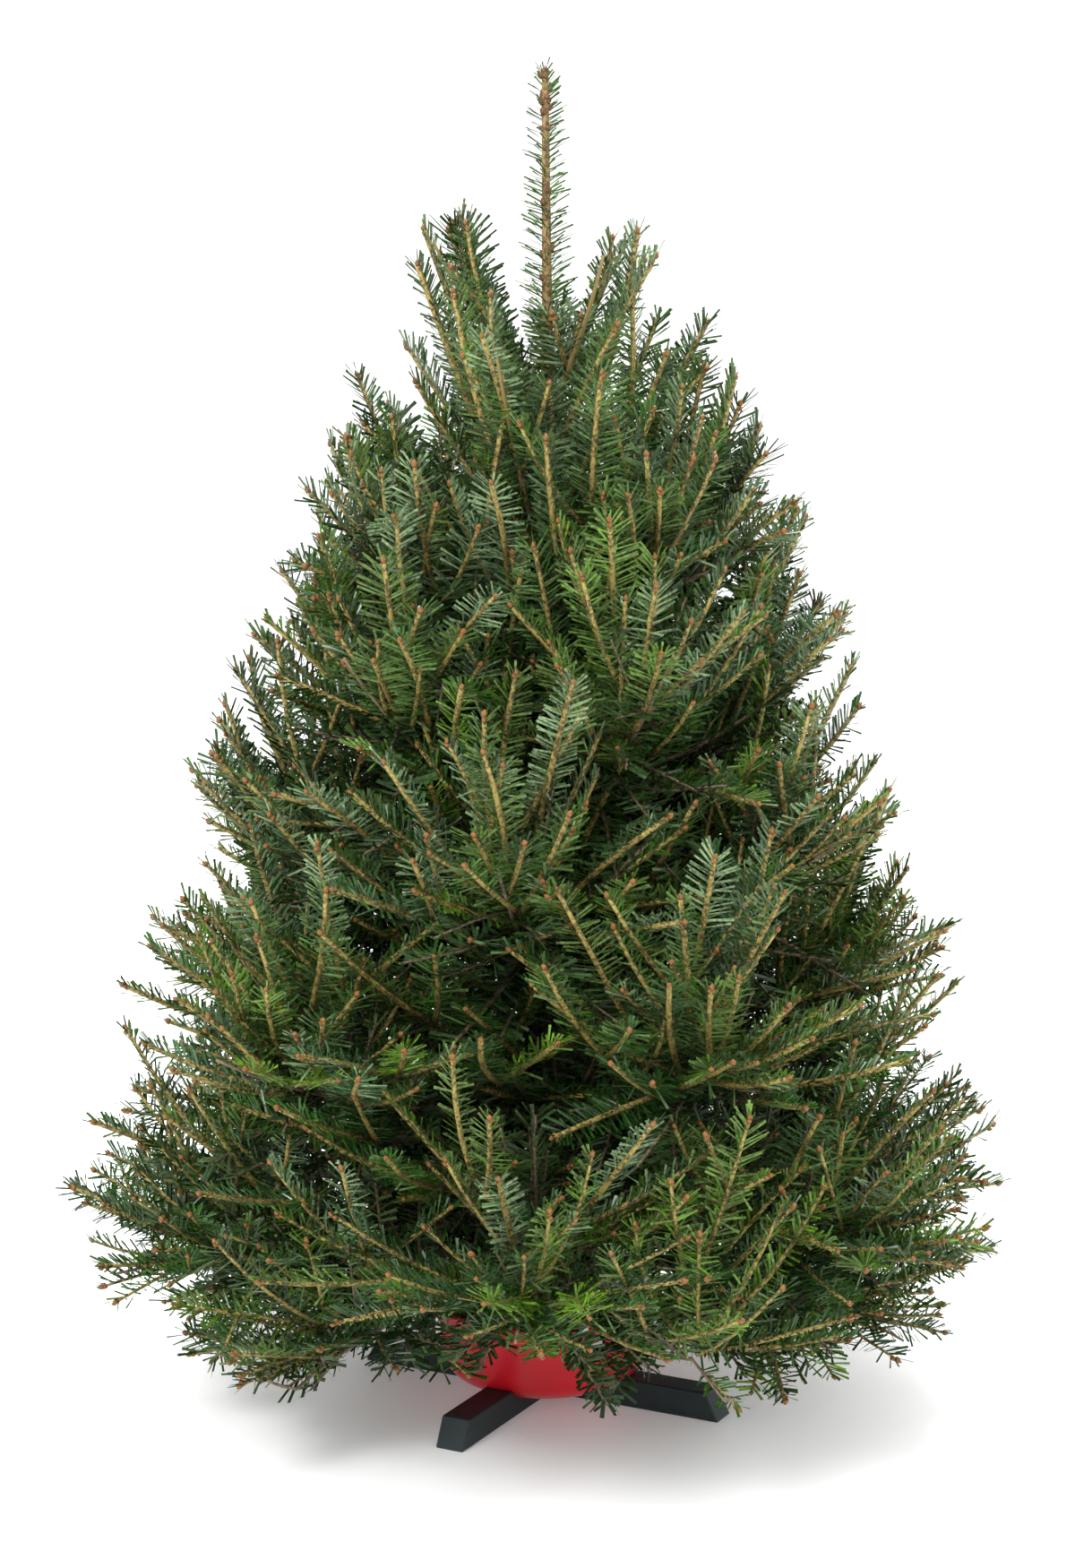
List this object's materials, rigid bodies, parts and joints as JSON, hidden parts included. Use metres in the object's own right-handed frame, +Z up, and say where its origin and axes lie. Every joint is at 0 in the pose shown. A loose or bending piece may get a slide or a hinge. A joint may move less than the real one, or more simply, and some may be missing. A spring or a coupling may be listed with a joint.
{
  "type": "christmas tree",
  "caption": "Small cut fir Christmas tree with dense upswept sprays of needles and a bare leader, standing in a round red water bowl on two crossed dark green bars.",
  "frame": {"origin": "centre of the flat underside of the stand, on the surface that it stands on, below the middle of the bowl", "axes": "+Z up along the trunk, -Y towards the viewer, +X to the viewer's right; the stand's bars lie 27.3 degrees off the X and Y axes"},
  "size_m": [0.637, 0.6605, 0.92],
  "materials": {
    "bark": "rough grey-brown young bark with resin blisters",
    "bough_bark": "matte grey-brown twig bark",
    "needles": "dark green needles with paler blue-green undersides, satin",
    "leader_needles": "sparse dark green needles on a golden brown shoot",
    "red_bowl": "satin red moulded plastic",
    "dark_green_bars": "near-black green paint, low sheen",
    "screw_steel": "zinc-plated steel"
  },
  "bodies": {
    "root": {"bough_tier1_1": "bough_bark", "bough_tier1_2": "bough_bark", "bough_tier1_3": "bough_bark", "bough_tier1_4": "bough_bark", "bough_tier1_5": "bough_bark", "bough_tier1_6": "bough_bark", "bough_tier2_1": "bough_bark", "bough_tier2_2": "bough_bark", "bough_tier2_3": "bough_bark", "bough_tier2_4": "bough_bark", "bough_tier2_5": "bough_bark", "bough_tier2_6": "bough_bark", "bough_tier3_1": "bough_bark", "bough_tier3_2": "bough_bark", "bough_tier3_3": "bough_bark", "bough_tier3_4": "bough_bark", "bough_tier3_5": "bough_bark", "centre_screw": "screw_steel", "foliage_tier1_1": "needles", "foliage_tier1_2": "needles", "foliage_tier1_3": "needles", "foliage_tier1_4": "needles", "foliage_tier1_5": "needles", "foliage_tier1_6": "needles", "foliage_tier2_1": "needles", "foliage_tier2_2": "needles", "foliage_tier2_3": "needles", "foliage_tier2_4": "needles", "foliage_tier2_5": "needles", "foliage_tier2_6": "needles", "foliage_tier3_1": "needles", "foliage_tier3_2": "needles", "foliage_tier3_3": "needles", "foliage_tier3_4": "needles", "foliage_tier3_5": "needles", "foliage_tier4_1": "needles", "foliage_tier4_2": "needles", "foliage_tier4_3": "needles", "foliage_tier4_4": "needles", "foliage_tier4_5": "needles", "foliage_tier5_1": "needles", "foliage_tier5_2": "needles", "foliage_tier5_3": "needles", "foliage_tier5_4": "needles", "foliage_tier5_5": "needles", "foliage_tier6_1": "needles", "foliage_tier6_2": "needles", "foliage_tier6_3": "needles", "foliage_tier6_4": "needles", "foliage_tier7_1": "needles", "foliage_tier7_2": "needles", "foliage_tier7_3": "needles", "foliage_tier8_1": "needles", "foliage_tier8_2": "needles", "foliage_tier8_3": "needles", "leader_shoot": "leader_needles", "stand_bar_front_back": "dark_green_bars", "stand_bar_left_right": "dark_green_bars", "trunk": "bark", "water_bowl": "red_bowl"}
  },
  "joints": []
}
